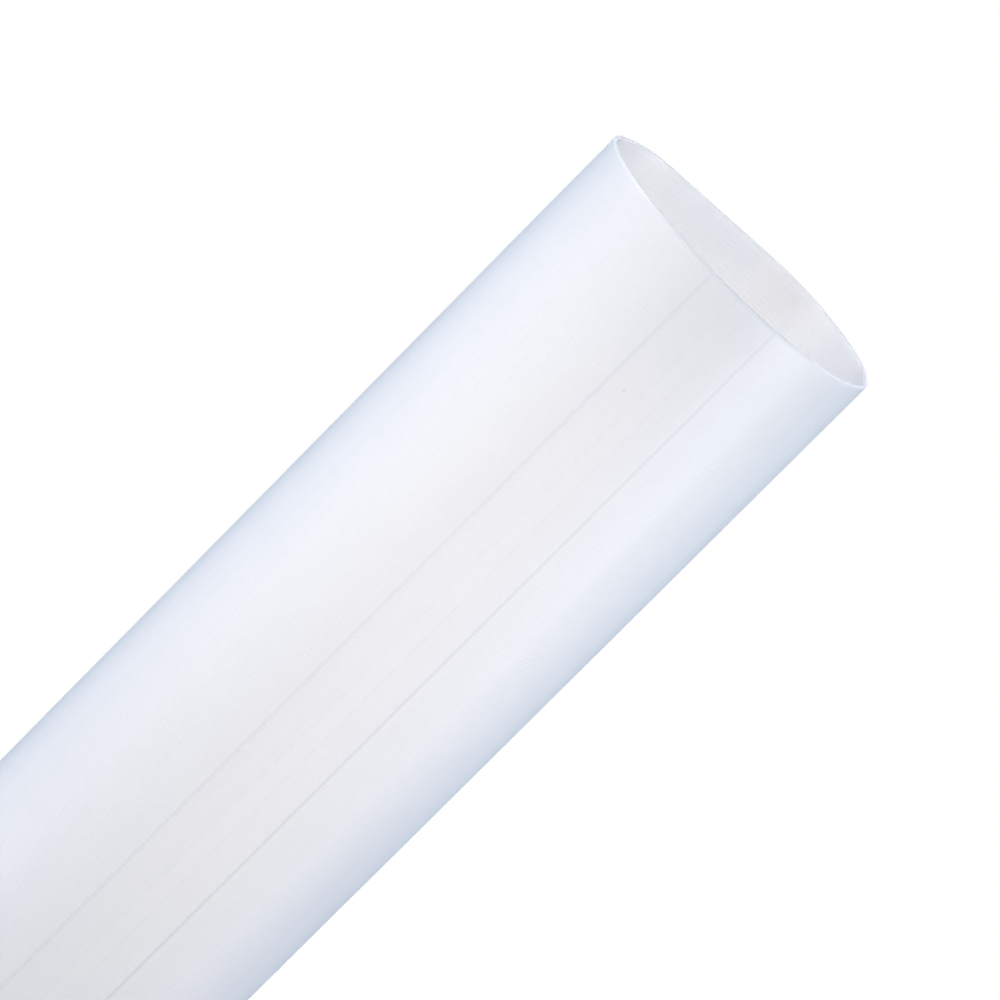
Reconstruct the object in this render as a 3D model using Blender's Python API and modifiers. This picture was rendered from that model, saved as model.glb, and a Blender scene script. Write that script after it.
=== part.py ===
"""A stick of clear heat shrink tube, lying on the flat that it has settled on.

Metres, +Z up. The tube runs along X with the cut mouth of the photograph at +X, and the middle of its
rest flat is at the origin. The wall is one extruded piece, so it is one solid.
"""

import math

import bmesh
import bpy

# Sizes of the tube as sold, before it is heated
ROUND_BORE = 0.0508  # inner diameter while the section is round
WALL = 0.0006  # wall thickness in the expanded state
LENGTH = 1.22  # a four foot stick

# How the thin wall has settled under its own weight
REST_FLAT = 0.0200  # width of the flat that it lies on
CORNER_TURN = math.radians(50)  # turn of the tighter arc between the flat and the crown, on each side

# Facets of the outline
CORNER_SIDES = 10
CROWN_SIDES = 104

# Finish of the natural, uncoloured polyolefin
MILKY_WHITE = (0.84, 0.88, 0.94, 1.0)
SATIN = 0.36


def clear_scene():
    """Removes every object of the scene the script starts in."""
    for obj in list(bpy.data.objects):
        bpy.data.objects.remove(obj, do_unlink=True)


def arc(centre_y, centre_z, radius, start, turn, sides):
    """Points of an arc after its first one, anticlockwise, with angles counted from +Y."""
    angles = (start + turn * step / sides for step in range(1, sides + 1))
    return [(centre_y + radius * math.cos(a), centre_z + radius * math.sin(a)) for a in angles]


def settled_outline():
    """The outer section as (y, z) points, anticlockwise seen from +X, its flat on z = 0.

    A flat, two corner arcs and a crown arc meet smoothly. Settling bends the wall but doesn't stretch
    it, so the outline keeps the girth of the round tube, and the crown's radius follows from that.
    """
    girth = math.pi * (ROUND_BORE + 2 * WALL)
    centre_shift = REST_FLAT / 2 / math.sin(CORNER_TURN)
    crown_radius = (girth - REST_FLAT + 2 * CORNER_TURN * centre_shift) / (2 * math.pi)
    corner_radius = crown_radius - centre_shift
    crown_centre = corner_radius + centre_shift * math.cos(CORNER_TURN)
    down = -math.pi / 2
    crown_turn = 2 * math.pi - 2 * CORNER_TURN

    points = [(-REST_FLAT / 2, 0.0), (REST_FLAT / 2, 0.0)]
    points += arc(REST_FLAT / 2, corner_radius, corner_radius, down, CORNER_TURN, CORNER_SIDES)
    points += arc(0.0, crown_centre, crown_radius, down + CORNER_TURN, crown_turn, CROWN_SIDES)
    points += arc(-REST_FLAT / 2, corner_radius, corner_radius, down - CORNER_TURN, CORNER_TURN, CORNER_SIDES)
    return points[:-1]


def outer_skin(outline):
    """The outline swept along X as an open surface whose faces point outwards."""
    skin = bmesh.new()
    loop = [skin.verts.new((-LENGTH / 2, y, z)) for y, z in outline]
    edges = [skin.edges.new((loop[i - 1], loop[i])) for i in range(len(loop))]
    swept = bmesh.ops.extrude_edge_only(skin, edges=edges)
    moved = [item for item in swept["geom"] if isinstance(item, bmesh.types.BMVert)]
    bmesh.ops.translate(skin, verts=moved, vec=(LENGTH, 0.0, 0.0))
    bmesh.ops.recalc_face_normals(skin, faces=skin.faces)
    mesh = bpy.data.meshes.new("heat_shrink_tube")
    skin.to_mesh(mesh)
    skin.free()
    return mesh


def clear_polyolefin():
    """The tube's material: milky, uncoloured, with a satin gloss."""
    material = bpy.data.materials.new("clear_polyolefin")
    material.use_nodes = True
    shader = material.node_tree.nodes["Principled BSDF"]
    shader.inputs["Base Color"].default_value = MILKY_WHITE
    shader.inputs["Roughness"].default_value = SATIN
    shader.inputs["Metallic"].default_value = 0.0
    return material


def heat_shrink_tube(collection):
    """The whole tube: the swept skin, thickened inwards, with square cut ends."""
    mesh = outer_skin(settled_outline())
    mesh.materials.append(clear_polyolefin())
    tube = bpy.data.objects.new("heat_shrink_tube", mesh)
    collection.objects.link(tube)
    wall = tube.modifiers.new("wall", "SOLIDIFY")
    wall.thickness = WALL
    wall.offset = -1.0
    wall.use_even_offset = True
    mesh.shade_smooth()
    mesh.set_sharp_from_angle(angle=math.radians(30))
    return tube


def main():
    clear_scene()
    parts = bpy.data.collections.new("Heat shrink tube")
    bpy.context.scene.collection.children.link(parts)
    heat_shrink_tube(parts)


main()
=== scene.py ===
# %% [markdown]
# This is a stick of clear heat shrink tube, as thick as a wrist. The plastic has no colour added, so it
# is milky and lets light through like frosted glass. The picture to match is high key: a pale tube on a
# pure white ground, where only soft shading, two long draw lines and the open mouth tell the shape.
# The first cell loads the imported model, which fixes where the tube lies and how big it is.

# %% Load the frame
import math

import bpy
from mathutils import Matrix, Vector


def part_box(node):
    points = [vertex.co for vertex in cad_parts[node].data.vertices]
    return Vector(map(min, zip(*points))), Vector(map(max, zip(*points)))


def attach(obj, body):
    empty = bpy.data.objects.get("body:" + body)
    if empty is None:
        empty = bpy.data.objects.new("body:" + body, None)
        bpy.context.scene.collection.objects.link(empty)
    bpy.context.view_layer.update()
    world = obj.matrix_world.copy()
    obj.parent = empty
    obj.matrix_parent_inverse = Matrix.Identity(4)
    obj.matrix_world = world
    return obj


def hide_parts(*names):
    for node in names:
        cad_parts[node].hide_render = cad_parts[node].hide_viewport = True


MM = 0.001

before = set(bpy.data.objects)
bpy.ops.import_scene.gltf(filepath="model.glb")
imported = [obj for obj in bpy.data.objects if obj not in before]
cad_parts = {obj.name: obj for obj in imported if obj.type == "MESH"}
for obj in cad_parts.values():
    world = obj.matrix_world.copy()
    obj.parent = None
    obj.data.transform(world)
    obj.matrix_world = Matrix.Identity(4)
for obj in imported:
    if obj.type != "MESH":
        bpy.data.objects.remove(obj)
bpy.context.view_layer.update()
low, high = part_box("heat_shrink_tube")
length = high.x - low.x
width = high.y - low.y
height = high.z - low.z
print(f"the tube is {length:.3f} m long, {width / MM:.1f} mm wide and {height / MM:.1f} mm high")

# %% [markdown]
# The thin wall has sagged a little under its own weight. Its section is a flat, which it lies on, two
# corner arcs and one large crown arc, all meeting smoothly. The crown's radius is half the width. The
# flat and the turn of the corner arcs are the other two sizes. The height then has to come out right,
# which is a good test that this is the rule that the solid was made by.

# %% The settled section
REST_FLAT = 20.0 * MM
CORNER_TURN = math.radians(50)
WALL = 0.6 * MM

crown_radius = width / 2
centre_shift = REST_FLAT / 2 / math.sin(CORNER_TURN)
corner_radius = crown_radius - centre_shift
crown_centre = corner_radius + centre_shift * math.cos(CORNER_TURN)
girth = REST_FLAT + 2 * corner_radius * CORNER_TURN + 2 * crown_radius * (math.pi - CORNER_TURN)
miss = crown_centre + crown_radius - height
print(f"the girth is {girth / MM:.1f} mm, and the height is off by {miss / MM:.3f} mm")

# %% [markdown]
# The camera looks down on the tube through a long lens. It stands to one side of straight above, and
# the mouth leans towards it. Three angles say all of that: how far the axis tilts towards the camera,
# how far round the tube the camera has moved, and how the picture is turned. Building the camera's own
# axes from them with cross products is easier to check than turning an object by hand.

# %% The camera's directions
AXIS_TILT = math.radians(12.0)
ROUND_TILT = math.radians(18.7)
PICTURE_TURN = math.radians(45.065)

to_camera = Vector((
    math.sin(AXIS_TILT),
    math.sin(ROUND_TILT) * math.cos(AXIS_TILT),
    math.cos(ROUND_TILT) * math.cos(AXIS_TILT),
))
tube_axis = Vector((1.0, 0.0, 0.0))
along = (tube_axis - to_camera * to_camera.x).normalized()
across = along.cross(to_camera)
section_up = across.cross(tube_axis)
right = along * math.cos(PICTURE_TURN) + across * math.sin(PICTURE_TURN)
up = along * math.sin(PICTURE_TURN) - across * math.cos(PICTURE_TURN)
print("towards the camera:", [round(value, 3) for value in to_camera])

# %% [markdown]
# The mouth sits right of and above the middle of the picture, so the camera aims at a point on the
# axis a little way inside the tube. The small shifts put the mouth's two tips on their right places.

# %% The camera
LENS = 223.3
SENSOR = 36.0
CLIP_END = 100.0
DISTANCE = 921.0 * MM
AIM_BEHIND_MOUTH = 50.3 * MM
AIM_ABOVE_CENTRE = 1.86 * MM
AIM_TO_LEFT = 0.35 * MM

mouth_centre = Vector((high.x, 0.0, crown_centre))
aim = mouth_centre + section_up * AIM_ABOVE_CENTRE - along * AIM_BEHIND_MOUTH - across * AIM_TO_LEFT

long_lens = bpy.data.cameras.new("long_lens")
long_lens.lens = LENS
long_lens.sensor_width = SENSOR
long_lens.clip_end = CLIP_END
camera = bpy.data.objects.new("camera", long_lens)
bpy.context.scene.collection.objects.link(camera)
turned = Matrix((right, up, to_camera)).transposed().to_4x4()
camera.matrix_world = Matrix.Translation(aim + to_camera * DISTANCE) @ turned
bpy.context.scene.camera = camera
print("the camera stands at", [round(value, 3) for value in camera.location])

# %% [markdown]
# Node trees for shapes and for finishes are both built with the same few helpers. The first adds a
# node and fills its inputs with numbers or with other nodes' outputs. The others are short names for
# sums that the rules below need often, such as a smooth bell round a given value.

# %% Helpers for node trees
def add(tree, kind, inputs=None, **settings):
    """A new node with its settings, its inputs filled by name or number from values or sockets."""
    made = tree.nodes.new(kind)
    for name, value in settings.items():
        setattr(made, name, value)
    for name, value in (inputs or {}).items():
        if isinstance(value, bpy.types.NodeSocket):
            tree.links.new(value, made.inputs[name])
        else:
            made.inputs[name].default_value = value
    return made


def calc(tree, operation, first, second=0.0, third=None):
    """The result of one Math node."""
    inputs = {0: first, 1: second}
    if third is not None:
        inputs[2] = third
    return add(tree, "ShaderNodeMath", inputs, operation=operation).outputs[0]


def bell(tree, value, centre, reach):
    """One at the centre, falling smoothly to nought in about twice the reach."""
    off = calc(tree, "DIVIDE", calc(tree, "SUBTRACT", value, centre), reach)
    return calc(tree, "EXPONENT", calc(tree, "MULTIPLY", calc(tree, "MULTIPLY", off, off), -1.0))


def clouds(tree, round_wall, from_mouth, cell):
    """Smooth flat noise, mostly between 0.3 and 0.7.

    A cell is the size of a cloud round the wall and along it, in millimetres, then a shift, which is
    another one for every pattern, so that no two show the same clouds, and then the detail.
    """
    size_round, size_along, shift, detail = cell
    first = calc(tree, "ADD", calc(tree, "DIVIDE", round_wall, size_round), shift)
    second = calc(tree, "DIVIDE", from_mouth, size_along)
    spot = add(tree, "ShaderNodeCombineXYZ", {0: first, 1: second}).outputs[0]
    inputs = {"Vector": spot, "Scale": 1.0, "Detail": detail}
    return add(tree, "ShaderNodeTexNoise", inputs, noise_dimensions="2D").outputs[0]


def spread(tree, value, lowest, highest):
    """The value stretched so that the two bounds become nought and one."""
    inputs = {"Value": value, "From Min": lowest, "From Max": highest}
    return add(tree, "ShaderNodeMapRange", inputs).outputs[0]


# %% [markdown]
# The real tube is extruded and then blown up from the inside, so its wall is an endless sheet rolled
# into a tube. It is made the same way here: a flat grid is rolled onto the settled outline by sums on
# its two coordinates. Geometry Nodes suit this, because every point follows one rule and each size
# stays an input of the tree. This cell adds those inputs.

# %% Inputs of the rolled wall
COLUMNS = 232
RINGS = 200
WAVE_DEPTH = 0.07 * MM
CUT_WAVE = 0.16 * MM
DRAW_LINE_DEPTH = 0.05 * MM
DRAW_LINE_REACH = 0.2 * MM
DRAW_LINES = (-10.35 * MM, 2.52 * MM)


def wall_inputs(tree):
    """Gives the tree its named sizes and returns them as sockets."""
    sizes = {
        "Length": length,
        "Flat": REST_FLAT,
        "Corner turn": CORNER_TURN,
        "Corner radius": corner_radius,
        "Crown radius": crown_radius,
        "Girth": girth,
        "Wave depth": WAVE_DEPTH,
        "Cut wave": CUT_WAVE,
        "Line depth": DRAW_LINE_DEPTH,
        "Line reach": DRAW_LINE_REACH,
    }
    face = tree.interface
    for name, value in sizes.items():
        face.new_socket(name, in_out="INPUT", socket_type="NodeSocketFloat").default_value = value
    for name, value in (("Columns", COLUMNS), ("Rings", RINGS)):
        face.new_socket(name, in_out="INPUT", socket_type="NodeSocketInt").default_value = value
    face.new_socket("Material", in_out="INPUT", socket_type="NodeSocketMaterial")
    face.new_socket("Geometry", in_out="OUTPUT", socket_type="NodeSocketGeometry")
    return tree.nodes.new("NodeGroupInput").outputs


# %% [markdown]
# Two distances say where a point of the sheet is: how far round the wall, counted from the crown, and
# how far from the mouth. The grid would space its columns evenly, but a draw line is only a few tenths
# of a millimetre wide, so the columns near it are pulled together. The rings crowd towards the mouth.

# %% Where a point of the sheet is
RING_CROWDING = 1.7
LINE_PULL = 0.85
LINE_PULL_REACH = 1.6 * MM


def sheet_places(tree, given, grid_uv):
    """Distance round the wall, nought on the crown and positive towards -Y, and from the mouth."""
    shares = add(tree, "ShaderNodeSeparateXYZ", {0: grid_uv}).outputs
    round_wall = calc(tree, "MULTIPLY", calc(tree, "SUBTRACT", shares[0], 0.5), given["Girth"])
    for line in DRAW_LINES:
        off = calc(tree, "SUBTRACT", round_wall, line)
        pull = calc(tree, "MULTIPLY", bell(tree, round_wall, line, LINE_PULL_REACH), -LINE_PULL)
        round_wall = calc(tree, "MULTIPLY_ADD", off, pull, round_wall)
    crowded = calc(tree, "POWER", shares[1], RING_CROWDING)
    return round_wall, calc(tree, "MULTIPLY", crowded, given["Length"])


# %% [markdown]
# Now the outline itself. Walking from the middle of the flat, the wall first runs straight, then turns
# round the corner arc, then round the crown. Clamping the distance to each stretch in turn gives how
# far the outline has turned, and sines and cosines of that turn give the point and its inward direction.

# %% Roll the sheet onto the outline
def rolled_point(tree, given, round_wall):
    """The point of the outline as (out, up), and its inward direction, all for the +Y half."""
    half_girth = calc(tree, "MULTIPLY", given["Girth"], 0.5)
    half_flat = calc(tree, "MULTIPLY", given["Flat"], 0.5)
    from_flat = calc(tree, "SUBTRACT", half_girth, calc(tree, "ABSOLUTE", round_wall))
    past_flat = calc(tree, "MAXIMUM", calc(tree, "SUBTRACT", from_flat, half_flat), 0.0)
    corner_turn = calc(tree, "DIVIDE", past_flat, given["Corner radius"])
    corner_turn = calc(tree, "MINIMUM", corner_turn, given["Corner turn"])
    corner_arc = calc(tree, "MULTIPLY", given["Corner turn"], given["Corner radius"])
    past_corner = calc(tree, "MAXIMUM", calc(tree, "SUBTRACT", past_flat, corner_arc), 0.0)
    turn = calc(tree, "ADD", corner_turn, calc(tree, "DIVIDE", past_corner, given["Crown radius"]))

    sin_corner, cos_corner = calc(tree, "SINE", corner_turn), calc(tree, "COSINE", corner_turn)
    sin_turn, cos_turn = calc(tree, "SINE", turn), calc(tree, "COSINE", turn)
    out = calc(tree, "MINIMUM", from_flat, half_flat)
    out = calc(tree, "MULTIPLY_ADD", sin_corner, given["Corner radius"], out)
    on_crown = calc(tree, "SUBTRACT", sin_turn, sin_corner)
    out = calc(tree, "MULTIPLY_ADD", on_crown, given["Crown radius"], out)
    rise = calc(tree, "MULTIPLY", calc(tree, "SUBTRACT", 1.0, cos_corner), given["Corner radius"])
    on_crown = calc(tree, "SUBTRACT", cos_corner, cos_turn)
    rise = calc(tree, "MULTIPLY_ADD", on_crown, given["Crown radius"], rise)
    return out, rise, sin_turn, cos_turn


# %% [markdown]
# Real plastic isn't perfect. The wall has slow waves, the two draw lines are shallow grooves that the
# die left, and the knife wandered a little as it cut the mouth. The cut also left the mouth pressed in
# slightly under its two tips, which makes them more pointed. A dent is given by its place round the
# wall, its reach and its depth. All of this only goes inwards, so the finished tube stays inside the
# box of the solid model.

# %% Waves, draw lines and the cut
WAVES_PER_METRE = (14.0, 45.0, 45.0)
CUT_TURNS = 2.0
CUT_START = 0.6
CUT_REACH = 9.0 * MM
DENTS = ((-60.5 * MM, 6.0 * MM, 0.60 * MM), (37.5 * MM, 3.5 * MM, 0.36 * MM))
DENT_FADE = 30.0 * MM


def relief(tree, given, spot, round_wall, from_mouth):
    """How deep the wall lies under its outline."""
    place = add(tree, "ShaderNodeVectorMath", {0: spot, 1: WAVES_PER_METRE}, operation="MULTIPLY")
    inputs = {"Vector": place.outputs[0], "Scale": 1.0, "Detail": 1.0}
    waves = add(tree, "ShaderNodeTexNoise", inputs).outputs[0]
    depth = calc(tree, "MULTIPLY", waves, given["Wave depth"])
    for line in DRAW_LINES:
        groove = bell(tree, round_wall, line, given["Line reach"])
        depth = calc(tree, "MULTIPLY_ADD", groove, given["Line depth"], depth)
    fading = calc(tree, "EXPONENT", calc(tree, "DIVIDE", from_mouth, -DENT_FADE))
    for middle, reach, most in DENTS:
        dent = calc(tree, "MULTIPLY", bell(tree, round_wall, middle, reach), fading)
        depth = calc(tree, "MULTIPLY_ADD", dent, most, depth)
    return depth


def cut_back(tree, given, round_wall, from_mouth):
    """How far the cut has wandered back from the mouth's plane, fading out along the tube."""
    per_turn = calc(tree, "DIVIDE", given["Girth"], 2 * math.pi * CUT_TURNS)
    angle = calc(tree, "ADD", calc(tree, "DIVIDE", round_wall, per_turn), CUT_START)
    wander = calc(tree, "MULTIPLY_ADD", calc(tree, "SINE", angle), 0.5, 0.5)
    fading = calc(tree, "EXPONENT", calc(tree, "DIVIDE", from_mouth, -CUT_REACH))
    return calc(tree, "MULTIPLY", calc(tree, "MULTIPLY", wander, fading), given["Cut wave"])


# %% [markdown]
# The tree now joins the steps: grid, places, point, relief. It also stores the two distances in a UV
# map called unrolled, in metres, so that the material can follow the sheet as if it were still flat.
# The first and last columns meet under the tube and are merged there. The grid's faces come out
# pointing into the tube, so they are flipped before the wall gets its thickness.

# %% The rolled wall
SEAM_REACH = 0.001 * MM


def rolled_wall_tree():
    """A node group that rolls a grid onto the settled outline."""
    tree = bpy.data.node_groups.new("rolled_wall", "GeometryNodeTree")
    tree.interface.new_socket("Geometry", in_out="INPUT", socket_type="NodeSocketGeometry")
    given = wall_inputs(tree)
    grid = add(tree, "GeometryNodeMeshGrid", {
        "Size X": 1.0,
        "Size Y": 1.0,
        "Vertices X": given["Columns"],
        "Vertices Y": given["Rings"],
    })
    round_wall, from_mouth = sheet_places(tree, given, grid.outputs["UV Map"])
    out, rise, sin_turn, cos_turn = rolled_point(tree, given, round_wall)

    side = calc(tree, "SIGN", round_wall)
    half_length = calc(tree, "MULTIPLY", given["Length"], 0.5)
    back = calc(tree, "ADD", from_mouth, cut_back(tree, given, round_wall, from_mouth))
    reached = calc(tree, "SUBTRACT", half_length, back)
    spot = add(tree, "ShaderNodeCombineXYZ", {
        0: calc(tree, "MAXIMUM", reached, calc(tree, "MULTIPLY", half_length, -1.0)),
        1: calc(tree, "MULTIPLY", calc(tree, "MULTIPLY", out, side), -1.0),
        2: rise,
    }).outputs[0]
    inward = add(tree, "ShaderNodeCombineXYZ", {1: calc(tree, "MULTIPLY", sin_turn, side), 2: cos_turn})
    depth = relief(tree, given, spot, round_wall, from_mouth)
    sunk = add(tree, "ShaderNodeVectorMath", {0: inward.outputs[0], 3: depth}, operation="SCALE")
    final = add(tree, "ShaderNodeVectorMath", {0: spot, 1: sunk.outputs[0]}, operation="ADD").outputs[0]

    unrolled = add(tree, "ShaderNodeCombineXYZ", {0: round_wall, 1: from_mouth}).outputs[0]
    stored = add(tree, "GeometryNodeStoreNamedAttribute", {
        "Geometry": grid.outputs["Mesh"],
        "Name": "unrolled",
        "Value": unrolled,
    }, data_type="FLOAT2", domain="CORNER").outputs[0]
    shaped = add(tree, "GeometryNodeSetPosition", {"Geometry": stored, "Position": final}).outputs[0]
    closed = add(tree, "GeometryNodeMergeByDistance", {"Geometry": shaped, "Distance": SEAM_REACH})
    outward = add(tree, "GeometryNodeFlipFaces", {"Mesh": closed.outputs[0]}).outputs[0]
    smooth = add(tree, "GeometryNodeSetShadeSmooth", {"Geometry": outward}).outputs[0]
    real = add(tree, "GeometryNodeRealizeInstances", {"Geometry": smooth}).outputs[0]
    finish = {"Geometry": real, "Material": given["Material"]}
    add(tree, "NodeGroupOutput", {0: add(tree, "GeometryNodeSetMaterial", finish).outputs[0]})
    return tree


# %% [markdown]
# The finish comes next. The material works on the unrolled sheet, in millimetres. Its finest mark is a
# set of hoop ripples, about three quarters of a millimetre apart, which the blowing up leaves. They bow
# towards the mouth on both flanks, and they come and go as short dashes in long columns.

# %% Hoop ripples
RIPPLE_PITCH = 0.75
RIPPLE_BOW = 8.4
RIPPLE_BOW_MIDDLE = -8.6
RIPPLE_DRIFT = 5.0
DRIFT_CELL = (3.2, 1.6, 3.0, 0.0)
DASH_CELL = (1.4, 5.0, 47.0, 1.0)
DASHES = (0.38, 0.70)
RIPPLE_GAP = (-4.0, 6.0)
GAP_FADING = 0.7


def unrolled_millimetres(tree):
    """How far round the wall and how far from the mouth a shaded point is."""
    place = add(tree, "ShaderNodeUVMap", uv_map="unrolled").outputs[0]
    parts = add(tree, "ShaderNodeSeparateXYZ", {0: place}).outputs
    return calc(tree, "DIVIDE", parts[0], MM), calc(tree, "DIVIDE", parts[1], MM)


def turned_from(tree, round_wall, middle):
    """The angle round the crown from a given place."""
    return calc(tree, "DIVIDE", calc(tree, "SUBTRACT", round_wall, middle), crown_radius / MM)


def hoop_ripples(tree, round_wall, from_mouth):
    """Rings round the tube between -1 and 1, bowed and broken into dashes."""
    angle = turned_from(tree, round_wall, RIPPLE_BOW_MIDDLE)
    dip = calc(tree, "SUBTRACT", 1.0, calc(tree, "COSINE", angle))
    bowed = calc(tree, "MULTIPLY_ADD", dip, RIPPLE_BOW, from_mouth)
    drift = calc(tree, "MULTIPLY", clouds(tree, round_wall, bowed, DRIFT_CELL), RIPPLE_DRIFT)
    phase = calc(tree, "MULTIPLY_ADD", bowed, 2 * math.pi / RIPPLE_PITCH, drift)
    dashes = spread(tree, clouds(tree, round_wall, from_mouth, DASH_CELL), *DASHES)
    fading = calc(tree, "MULTIPLY_ADD", bell(tree, round_wall, *RIPPLE_GAP), -GAP_FADING, 1.0)
    return calc(tree, "MULTIPLY", calc(tree, "SINE", phase), calc(tree, "MULTIPLY", dashes, fading))


# %% [markdown]
# Long marks run the other way. The die leaves fine streaks down the whole tube, and some faint lines
# that break up into dots. Each kind of line needs only the distance to its nearest one, so the lines of
# a kind share one bell.

# %% Streaks and faint lines
FINE_CELL = (0.55, 190.0, 11.0, 1.0)
BROAD_CELL = (3.4, 420.0, 71.0, 0.0)
DOTTED_LINES = (-5.05, -2.3)
FAINT_LINES = (-36.1, -23.3, 8.3, 41.0, 57.5)
FAINT_SHARE = 0.4
FAINT_REACH = 0.30
DOT_CELL = (1.5, 1.1, 19.0, 0.0)
DOTS = (0.48, 0.66)
DOT_SHARE = 0.75


def die_streaks(tree, round_wall, from_mouth):
    """Fine and broad streaks down the tube, between about -1 and 1."""
    fine = clouds(tree, round_wall, from_mouth, FINE_CELL)
    broad = clouds(tree, round_wall, from_mouth, BROAD_CELL)
    return calc(tree, "MULTIPLY_ADD", calc(tree, "ADD", fine, broad), 2.0, -2.0)


def nearest(tree, round_wall, lines):
    """The distance to the nearest of some lines along the tube."""
    least = calc(tree, "ABSOLUTE", calc(tree, "SUBTRACT", round_wall, lines[0]))
    for line in lines[1:]:
        off = calc(tree, "ABSOLUTE", calc(tree, "SUBTRACT", round_wall, line))
        least = calc(tree, "MINIMUM", least, off)
    return least


def faint_lines(tree, round_wall, from_mouth):
    """Thin lines that break up into dots, between 0 and about 1."""
    dotted = bell(tree, nearest(tree, round_wall, DOTTED_LINES), 0.0, FAINT_REACH)
    faint = bell(tree, nearest(tree, round_wall, FAINT_LINES), 0.0, FAINT_REACH)
    lines = calc(tree, "MULTIPLY_ADD", faint, FAINT_SHARE, dotted)
    dots = spread(tree, clouds(tree, round_wall, from_mouth, DOT_CELL), *DOTS)
    return calc(tree, "MULTIPLY", lines, calc(tree, "MULTIPLY_ADD", dots, DOT_SHARE, 1.0 - DOT_SHARE))


# %% [markdown]
# Of all marks the two draw lines stand out most. The first is soft and wanders a little, the second is
# straight and crisp, and paler at the mouth. Short barbs lean onto both from the strip between them,
# like those of a feather.

# %% Draw lines
WANDER = 0.40
SHAKE_CELL = (1.0, 1.8, 17.0, 1.0)
SOFT_REACH, SOFT_STRENGTH = 0.32, 0.25
CRISP_REACH, CRISP_STRENGTH = 0.23, 0.46
PALE_REACH, PALING = 45.0, 0.13
BARB_SLANT = 1.1
BARB_CELL = (3.0, 0.40, 23.0, 0.0)
BARBS = (0.56, 0.76)
BARB_REACH, BARB_STRENGTH = 1.5, 0.11


def draw_lines(tree, round_wall, from_mouth):
    """The wandering soft line, the crisp line and the barbs between them, as one strength."""
    soft, crisp = (line / MM for line in DRAW_LINES)
    shake = calc(tree, "SUBTRACT", clouds(tree, 0.0, from_mouth, SHAKE_CELL), 0.5)
    shaken = calc(tree, "MULTIPLY_ADD", shake, WANDER, round_wall)
    strength = calc(tree, "MULTIPLY", bell(tree, shaken, soft, SOFT_REACH), SOFT_STRENGTH)
    at_mouth = bell(tree, from_mouth, 0.0, PALE_REACH)
    depth = calc(tree, "MULTIPLY_ADD", at_mouth, -PALING, CRISP_STRENGTH)
    strength = calc(tree, "MULTIPLY_ADD", bell(tree, round_wall, crisp, CRISP_REACH), depth, strength)

    from_soft = calc(tree, "SUBTRACT", round_wall, soft)
    between = calc(tree, "MINIMUM", from_soft, calc(tree, "SUBTRACT", crisp, round_wall))
    leaning = calc(tree, "MULTIPLY_ADD", between, BARB_SLANT, from_mouth)
    barbs = spread(tree, clouds(tree, round_wall, leaning, BARB_CELL), *BARBS)
    on_strip = calc(tree, "GREATER_THAN", between, 0.0)
    near = calc(tree, "MULTIPLY", on_strip, bell(tree, between, 0.0, BARB_REACH))
    return calc(tree, "MULTIPLY_ADD", calc(tree, "MULTIPLY", barbs, near), BARB_STRENGTH, strength)


# %% [markdown]
# The colours stay close together, because the plastic is nearly clear: a cool milky white with cloudy
# changes, and the marks from above as slightly darker tints. Bands run down the whole tube. Most of
# them are painted highlight and painted shade: lighter and darker stripes, bluer flanks, and a
# painted greyer shade between the draw lines. A warmer one lies low inside the mouth. Patches are soft
# spots of painted highlight and painted shade, most of them at the mouth. A few specks of dust or gel
# sit in the wall, as in any such tube. A row gives the place and the reach in millimetres, then the
# strength and the tint.

# %% Colours of the milky plastic, with painted light and shade
MILK = (0.855, 0.876, 0.908, 1.0)
CLOUDED_MILK = (0.883, 0.896, 0.918, 1.0)
# bands of painted highlight and painted shade down the tube, with bluer flanks and a warmer tint low
# inside the mouth
LIGHT_AND_SHADE_BANDS = (
    (-46.0, 6.0, 0.9, (0.840, 0.900, 0.965, 1.0)),
    (-25.0, 5.0, 0.7, (0.900, 0.915, 0.940, 1.0)),
    (-6.0, 9.0, 0.7, (0.852, 0.856, 0.868, 1.0)),
    (10.5, 3.0, 0.9, (0.905, 0.925, 0.945, 1.0)),
    (21.0, 4.0, 0.9, (0.815, 0.842, 0.885, 1.0)),
    (28.0, 4.0, 0.9, (0.800, 0.865, 0.940, 1.0)),
    (58.0, 3.0, 0.9, (0.930, 0.945, 0.960, 1.0)),
    (67.0, 5.0, 0.9, (0.868, 0.860, 0.872, 1.0)),
)
# soft spots of painted highlight and painted shade: a painted darker tongue in the middle of the mouth,
# highlights beside it, and lighter and darker spots further along
LIGHT_AND_SHADE_PATCHES = (
    (-6.0, 11.0, 0.0, 16.0, 0.75, (0.800, 0.820, 0.850, 1.0)),
    (0.0, 9.0, 116.0, 34.0, 0.80, (0.922, 0.924, 0.906, 1.0)),
    (-32.0, 9.0, 118.0, 28.0, 0.60, (0.825, 0.842, 0.870, 1.0)),
    (6.2, 3.5, 0.0, 12.0, 0.60, (0.935, 0.948, 0.958, 1.0)),
    (18.5, 5.5, 3.0, 16.0, 0.75, (0.798, 0.828, 0.865, 1.0)),
    (-37.5, 5.0, 0.0, 16.0, 0.60, (0.812, 0.845, 0.872, 1.0)),
    (20.0, 6.0, 114.0, 30.0, 0.60, (0.770, 0.802, 0.848, 1.0)),
    (66.0, 13.0, 7.5, 3.5, 0.70, (0.935, 0.942, 0.955, 1.0)),
    (-65.5, 5.0, 0.0, 7.0, 0.85, (0.925, 0.955, 0.975, 1.0)),
    (58.5, 4.5, 5.5, 5.0, 0.80, (0.972, 0.978, 0.984, 1.0)),
)
# the tint of the draw lines and other marks, which also paints the thin line of shade along the rim
LINE_AND_RIM_SHADE_TINT = (0.61, 0.66, 0.71, 1.0)
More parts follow.
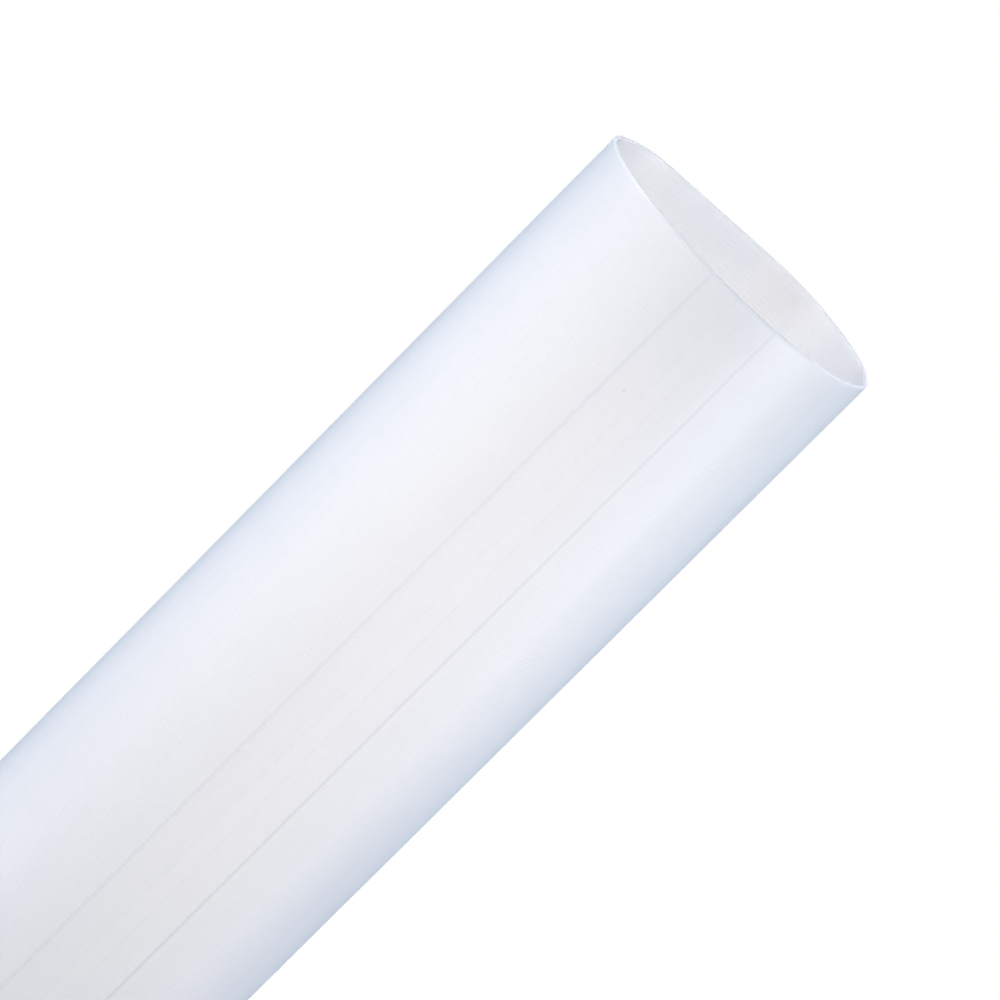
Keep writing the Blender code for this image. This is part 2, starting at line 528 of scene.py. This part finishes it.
# painted shade of the cut faces: darker low down and darkest at the crown
CUT_SHADE = (0.400, 0.460, 0.505, 1.0)
LOW_CUT_SHADE = (0.290, 0.320, 0.345, 1.0)
CROWN_CUT_SHADE = (0.265, 0.300, 0.350, 1.0)
SPECK_TINT = (0.55, 0.48, 0.25, 1.0)
CLOUD_CELL = (14.0, 60.0, 29.0, 2.0)
CLOUDED = (0.3, 0.7)
MOTTLE_CELL = (0.9, 0.9, 83.0, 1.0)
MARK_SHARE = 0.02
FAINT_LINE_STRENGTH = 0.11
RIPPLE_STRENGTH = 0.06
MOTTLE_STRENGTH = 0.10
STREAK_STRENGTH = 0.04
SPECKS = (
    (-7.45, 21.7, 0.17, 0.5),
    (-44.6, 61.5, 0.2, 0.5),
    (-31.0, 218.0, 0.24, 0.5),
    (24.0, 431.0, 0.22, 0.5),
    (11.0, 802.0, 0.25, 0.5),
    (64.0, 2.4, 1.1, 0.07),
)


def blend(tree, factor, first, second):
    """A mix of two colours."""
    return add(tree, "ShaderNodeMix", {0: factor, 6: first, 7: second}, data_type="RGBA").outputs[2]


def patch(tree, round_wall, from_mouth, middle, distance, wide, long):
    """One at a place on the wall, fading to nought round the wall and along it."""
    round_share = bell(tree, round_wall, middle, wide)
    return calc(tree, "MULTIPLY", round_share, bell(tree, from_mouth, distance, long))


def milky_colour_and_painted_light(tree, round_wall, from_mouth, ripples, streaks):
    """The base colour with all its marks, and with bands and patches of painted highlight and shade."""
    cloudy = spread(tree, clouds(tree, round_wall, from_mouth, CLOUD_CELL), *CLOUDED)
    colour = blend(tree, cloudy, MILK, CLOUDED_MILK)
    # painted highlight and shade in bands down the tube
    for middle, reach, most, tint in LIGHT_AND_SHADE_BANDS:
        band = calc(tree, "MULTIPLY", bell(tree, round_wall, middle, reach), most)
        colour = blend(tree, band, colour, tint)
    # painted highlight and shade in soft patches
    for middle, wide, distance, long, most, tint in LIGHT_AND_SHADE_PATCHES:
        share = patch(tree, round_wall, from_mouth, middle, distance, wide, long)
        colour = blend(tree, calc(tree, "MULTIPLY", share, most), colour, tint)

    marks = draw_lines(tree, round_wall, from_mouth)
    faint = faint_lines(tree, round_wall, from_mouth)
    marks = calc(tree, "MULTIPLY_ADD", faint, FAINT_LINE_STRENGTH, marks)
    marks = calc(tree, "MULTIPLY_ADD", calc(tree, "MAXIMUM", ripples, 0.0), RIPPLE_STRENGTH, marks)
    mottle = calc(tree, "SUBTRACT", clouds(tree, round_wall, from_mouth, MOTTLE_CELL), 0.5)
    marks = calc(tree, "MULTIPLY_ADD", mottle, MOTTLE_STRENGTH, marks)
    marks = calc(tree, "MULTIPLY_ADD", streaks, STREAK_STRENGTH, calc(tree, "ADD", marks, MARK_SHARE))
    colour = blend(tree, calc(tree, "MAXIMUM", marks, 0.0), colour, LINE_AND_RIM_SHADE_TINT)

    specks = 0.0
    for middle, distance, reach, strength in SPECKS:
        speck = patch(tree, round_wall, from_mouth, middle, distance, reach, reach)
        specks = calc(tree, "MULTIPLY_ADD", speck, strength, specks)
    return blend(tree, specks, colour, SPECK_TINT)


# %% [markdown]
# The cut face shows the wall end on. Its shade is painted into its colour: darker than the skins,
# darkest at the crown and low down, where a painted thin dark line of shade also edges the skins
# beside it, and paler at the sides. The way a point faces tells the cut faces and the two skins apart.
# It is taken from the object, not from the view.

# %% Which face is it
CUT_FACING = (0.1, 0.5)
# where the painted shade of the cut faces and the painted line of shade along the rim are strongest
CROWN_EDGE = -5.8
EDGE_WIDTH = 0.36
CROWN_HEIGHTS = (0.70, 0.95)
LOW_EDGE_HEIGHTS = (-0.2, -0.8)
LOW_EDGE_SHARE = 0.6
LOW_CUT_HEIGHTS = (0.1, -0.7)


def facing(tree):
    """Whether a point is on a cut face, and whether it is on the outer skin."""
    coordinates = add(tree, "ShaderNodeTexCoord").outputs
    place = add(tree, "ShaderNodeSeparateXYZ", {0: coordinates["Object"]}).outputs
    normal = add(tree, "ShaderNodeSeparateXYZ", {0: coordinates["Normal"]}).outputs
    upward = calc(tree, "MULTIPLY", calc(tree, "SUBTRACT", place[2], crown_centre), normal[2])
    outward = calc(tree, "MULTIPLY_ADD", place[1], normal[1], upward)
    cut = spread(tree, calc(tree, "ABSOLUTE", normal[0]), *CUT_FACING)
    uncut = calc(tree, "SUBTRACT", 1.0, cut)
    outer = calc(tree, "MULTIPLY", calc(tree, "GREATER_THAN", outward, 0.0), uncut)
    return cut, outer


def painted_cut_shade(tree, colour, cut, round_wall, from_mouth):
    """The colour with painted shade on the cut faces, and with the painted dark line of shade that edges
    them high up and low down.
    """
    level = calc(tree, "COSINE", turned_from(tree, round_wall, CROWN_EDGE))
    crown = spread(tree, level, *CROWN_HEIGHTS)
    low_edge = calc(tree, "MULTIPLY", spread(tree, level, *LOW_EDGE_HEIGHTS), LOW_EDGE_SHARE)
    # a painted thin line of shade along the mouth's rim, at the crown and low down
    rim_shade = bell(tree, from_mouth, 0.0, EDGE_WIDTH)
    rim_shade = calc(tree, "MULTIPLY", rim_shade, calc(tree, "ADD", crown, low_edge))
    colour = blend(tree, rim_shade, colour, LINE_AND_RIM_SHADE_TINT)
    # painted shade on the cut faces
    tint = blend(tree, spread(tree, level, *LOW_CUT_HEIGHTS), CUT_SHADE, LOW_CUT_SHADE)
    return blend(tree, cut, colour, blend(tree, crown, tint, CROWN_CUT_SHADE))


# %% [markdown]
# The shader joins them. Light enters soft plastic and comes out elsewhere, so the wall scatters it over
# about its own thickness, which makes the inside glow. At a slant the eye looks through more of the
# plastic, and the flanks look denser. A clear coat with a grey tint does just that: its tint gets
# stronger as the view gets flatter, and with an index near one it adds no gloss of its own. Inside the
# tube light bounces about many times and would pick the tint up each time, so there it is weaker.

# %% Milky polyolefin
SATIN = 0.36
SATIN_STREAKS = 0.03
RIPPLE_HEIGHT = 0.0045 * MM
SCATTER_REACH = 0.7 * MM
SCATTER_SHARE = 0.8
SLANT_TINT = (0.78, 0.81, 0.81, 1.0)
SLANT_INDEX = 1.03
INSIDE_COAT = 0.5


def milky_polyolefin():
    """Uncoloured, milky tube plastic with its extrusion marks."""
    material = bpy.data.materials.new("milky_polyolefin")
    material.use_nodes = True
    tree = material.node_tree
    shader = tree.nodes["Principled BSDF"]
    round_wall, from_mouth = unrolled_millimetres(tree)
    ripples = hoop_ripples(tree, round_wall, from_mouth)
    streaks = die_streaks(tree, round_wall, from_mouth)
    cut, outer = facing(tree)
    colour = milky_colour_and_painted_light(tree, round_wall, from_mouth, ripples, streaks)
    tree.links.new(painted_cut_shade(tree, colour, cut, round_wall, from_mouth), shader.inputs["Base Color"])
    tree.links.new(calc(tree, "MULTIPLY_ADD", streaks, SATIN_STREAKS, SATIN), shader.inputs["Roughness"])
    bump = add(tree, "ShaderNodeBump", {"Height": ripples, "Distance": RIPPLE_HEIGHT, "Strength": 1.0})
    tree.links.new(bump.outputs[0], shader.inputs["Normal"])
    shader.subsurface_method = "BURLEY"
    shader.inputs["Subsurface Weight"].default_value = SCATTER_SHARE
    shader.inputs["Subsurface Scale"].default_value = SCATTER_REACH
    shader.inputs["Subsurface Radius"].default_value = (1.0, 1.0, 1.0)
    coat = calc(tree, "MULTIPLY_ADD", outer, 1.0 - INSIDE_COAT, INSIDE_COAT)
    tree.links.new(coat, shader.inputs["Coat Weight"])
    shader.inputs["Coat Roughness"].default_value = SATIN
    shader.inputs["Coat IOR"].default_value = SLANT_INDEX
    shader.inputs["Coat Tint"].default_value = SLANT_TINT
    print(f"milky_polyolefin has {len(tree.nodes)} nodes")
    return material


# %% [markdown]
# The tree goes on an empty mesh as a modifier. Solidify then gives the sheet its wall, inwards, and a
# very fine bevel eases the cut edges, as a knife does. The evaluated result is copied to a plain mesh,
# and the modifiers go away with their object.

# %% Make the wall
CUT_EASE = 0.06 * MM
EASED_ANGLE = math.radians(60)
SHARP_ANGLE = math.radians(20)


def modifier_inputs(modifier, values):
    """Sets a Geometry Nodes modifier's inputs, each found by its name and set by its identifier."""
    for item in modifier.node_group.interface.items_tree:
        if item.item_type == "SOCKET" and item.in_out == "INPUT" and item.name in values:
            modifier[item.identifier] = values[item.name]


sheet = bpy.data.objects.new("sheet", bpy.data.meshes.new("sheet"))
bpy.context.scene.collection.objects.link(sheet)
roll = sheet.modifiers.new("roll", "NODES")
roll.node_group = rolled_wall_tree()
modifier_inputs(roll, {"Material": milky_polyolefin()})
thicken = sheet.modifiers.new("thicken", "SOLIDIFY")
thicken.thickness = WALL
thicken.offset = -1.0
ease = sheet.modifiers.new("ease_the_cut", "BEVEL")
ease.width = CUT_EASE
ease.segments = 2
ease.limit_method = "ANGLE"
ease.angle_limit = EASED_ANGLE
bpy.context.view_layer.update()
wall_mesh = bpy.data.meshes.new_from_object(sheet.evaluated_get(bpy.context.evaluated_depsgraph_get()))
bpy.data.objects.remove(sheet)
wall_mesh.materials.pop(index=0)
wall_mesh.set_sharp_from_angle(angle=SHARP_ANGLE)
print(f"the wall has {len(wall_mesh.polygons)} faces and the UV maps {wall_mesh.uv_layers.keys()}")

# %% [markdown]
# The piece rides on the model's only body, and the model's only node is hidden in its place.
# A closed surface whose faces point outwards holds a positive volume, so that is worth a check.

# %% Hand the tube to the frame
tube = bpy.data.objects.new("milky_tube", wall_mesh)
bpy.context.scene.collection.objects.link(tube)
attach(tube, "root")
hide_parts("heat_shrink_tube")

wall_mesh.calc_loop_triangles()
corners = [[wall_mesh.vertices[i].co for i in face.vertices] for face in wall_mesh.loop_triangles]
volume = sum(a.dot(b.cross(c)) for a, b, c in corners) / 6
print(f"{len(corners)} triangles hold {volume / MM ** 3 / 1000:.1f} cm3")

# %% [markdown]
# The tube lies on a light table, the usual ground for clear goods: a matt white sheet that also glows
# by itself. Its light comes up through the bottom of the tube, which keeps the inside of the mouth
# bright. It is brighter than white, and that would eat into the tube's outline, so the camera sees the
# sheet, and later the room too, as just white.

# %% Light table
TABLE_REACH = 20.0
TABLE_GREY = (0.5, 0.5, 0.5, 1.0)
TABLE_GLOW = (1.232, 1.127, 1.359)
GLOW_SCALE = 1.4
JUST_WHITE = (1.0, 1.0, 1.0, 1.0)

table_mesh = bpy.data.meshes.new("light_table")
table_corners = [(x * TABLE_REACH, y * TABLE_REACH, 0) for x, y in ((-1, -1), (1, -1), (1, 1), (-1, 1))]
table_mesh.from_pydata(table_corners, [], [(0, 1, 2, 3)])
table = bpy.data.objects.new("light_table", table_mesh)
bpy.context.scene.collection.objects.link(table)
opal = bpy.data.materials.new("opal_sheet")
opal.use_nodes = True
opal_shader = opal.node_tree.nodes["Principled BSDF"]
opal_shader.inputs["Base Color"].default_value = TABLE_GREY
opal_shader.inputs["Roughness"].default_value = 1.0
opal_shader.inputs["Specular IOR Level"].default_value = 0.0
opal_shader.inputs["Emission Color"].default_value = (*(value / GLOW_SCALE for value in TABLE_GLOW), 1.0)
opal_shader.inputs["Emission Strength"].default_value = GLOW_SCALE
seen = add(opal.node_tree, "ShaderNodeEmission", {0: JUST_WHITE})
by_camera = add(opal.node_tree, "ShaderNodeLightPath").outputs["Is Camera Ray"]
choices = {0: by_camera, 1: opal_shader.outputs[0], 2: seen.outputs[0]}
either = add(opal.node_tree, "ShaderNodeMixShader", choices)
opal.node_tree.links.new(either.outputs[0], opal.node_tree.nodes["Material Output"].inputs["Surface"])
table_mesh.materials.append(opal)
print(f"the table glows {min(TABLE_GLOW):.2f} to {max(TABLE_GLOW):.2f}, and the camera sees 1")

# %% [markdown]
# The room is soft and cool. How bright it is depends only on how far a direction leans from straight
# up to either side of the tube, so one colour ramp over that lean holds the whole room. A broad
# brighter part in front of the mouth lights its inside.

# %% The room
ROOM = {
    -90: (0.811, 0.740, 0.842),
    -60: (0.726, 0.663, 0.747),
    -30: (0.417, 0.377, 0.517),
    0: (0.258, 0.259, 0.422),
    30: (0.339, 0.358, 0.477),
    60: (0.538, 0.562, 0.629),
    90: (0.667, 0.695, 0.729),
}
FRONT = (3.602, 3.419, 3.089)
FRONT_START, FRONT_FULL = 0.25, 0.95
ROOM_SCALE = 4.0


def scaled(colour, scale):
    """A bright light colour brought under one, with an alpha, for a colour socket."""
    return (*(value / scale for value in colour), 1.0)


room = bpy.data.worlds.new("studio")
room.use_nodes = True
bpy.context.scene.world = room
air = room.node_tree
direction = add(air, "ShaderNodeTexCoord").outputs["Generated"]
toward = add(air, "ShaderNodeSeparateXYZ", {0: direction}).outputs
lean = calc(air, "MULTIPLY_ADD", calc(air, "ARCTAN2", toward[1], toward[2]), 1 / math.pi, 0.5)
ramp = add(air, "ShaderNodeValToRGB", {0: lean})
stops = ramp.color_ramp.elements
while len(stops) < len(ROOM):
    stops.new(0.5)
for number, degrees in enumerate(sorted(ROOM)):
    stops[number].position = degrees / 180 + 0.5
for number, degrees in enumerate(sorted(ROOM)):
    stops[number].color = scaled(ROOM[degrees], ROOM_SCALE)
bounds = {"Value": toward[0], "From Min": FRONT_START, "From Max": FRONT_FULL}
ahead = add(air, "ShaderNodeMapRange", bounds, interpolation_type="SMOOTHSTEP").outputs[0]
lit = blend(air, ahead, ramp.outputs[0], scaled(FRONT, ROOM_SCALE))
by_camera = add(air, "ShaderNodeLightPath").outputs["Is Camera Ray"]
shown = blend(air, by_camera, lit, scaled(JUST_WHITE[:3], ROOM_SCALE))
air.links.new(shown, air.nodes["Background"].inputs[0])
air.nodes["Background"].inputs[1].default_value = ROOM_SCALE
print("stops of the room:", [round(stop.position * 180 - 90) for stop in stops])

# %% [markdown]
# Three softboxes finish the light. One on each side draws a soft highlight down the near end of the
# tube. A small one close above makes the pool of light behind the mouth. A row gives the lean from
# straight up in degrees, the distance, the place along the tube, the size and the colour. The watts
# grow with the area, so the colour alone sets how bright a box is.

# %% Softboxes
SIDE_DISTANCE = 200 * MM
SIDE_LENGTH = 120 * MM
SIDE_WIDTH = 110 * MM
POOL_DISTANCE = 100 * MM
POOL_SIZE = 50 * MM
LEFT_LIGHT = (0.550, 0.523, 0.421)
RIGHT_LIGHT = (0.621, 0.698, 0.700)
POOL_LIGHT = (0.480, 0.348, 0.320)
BOXES = {
    "left": (58, SIDE_DISTANCE, high.x - 60 * MM, SIDE_LENGTH, SIDE_WIDTH, LEFT_LIGHT),
    "right": (-42, SIDE_DISTANCE, high.x - 40 * MM, SIDE_LENGTH, SIDE_WIDTH, RIGHT_LIGHT),
    "pool": (6, POOL_DISTANCE, high.x - 62 * MM, POOL_SIZE, POOL_SIZE, POOL_LIGHT),
}


def softbox(name, lean_degrees, distance, middle, box_length, box_width, colour):
    """A rectangular light that faces the tube's axis and that the camera doesn't see."""
    angle = math.radians(lean_degrees)
    outward = Vector((0.0, math.sin(angle), math.cos(angle)))
    light = bpy.data.lights.new(name, "AREA")
    light.shape = "RECTANGLE"
    light.size = box_length
    light.size_y = box_width
    light.energy = math.pi * math.pi * box_length * box_width
    light.color = colour
    box = bpy.data.objects.new(name, light)
    bpy.context.scene.collection.objects.link(box)
    aim = Matrix((tube_axis, outward.cross(tube_axis), outward)).transposed().to_4x4()
    spot = Vector((middle, 0.0, crown_centre)) + outward * distance
    box.matrix_world = Matrix.Translation(spot) @ aim
    box.visible_camera = False
    return light.energy


for name, settings in BOXES.items():
    print(f"{name}: {softbox(name, *settings):.2f} W")

# %% [markdown]
# The Standard view keeps colours as they are lit, and lets the paper clip to pure white.

# %% Finish
bpy.context.scene.view_settings.view_transform = "Standard"
bpy.context.scene.view_settings.look = "None"
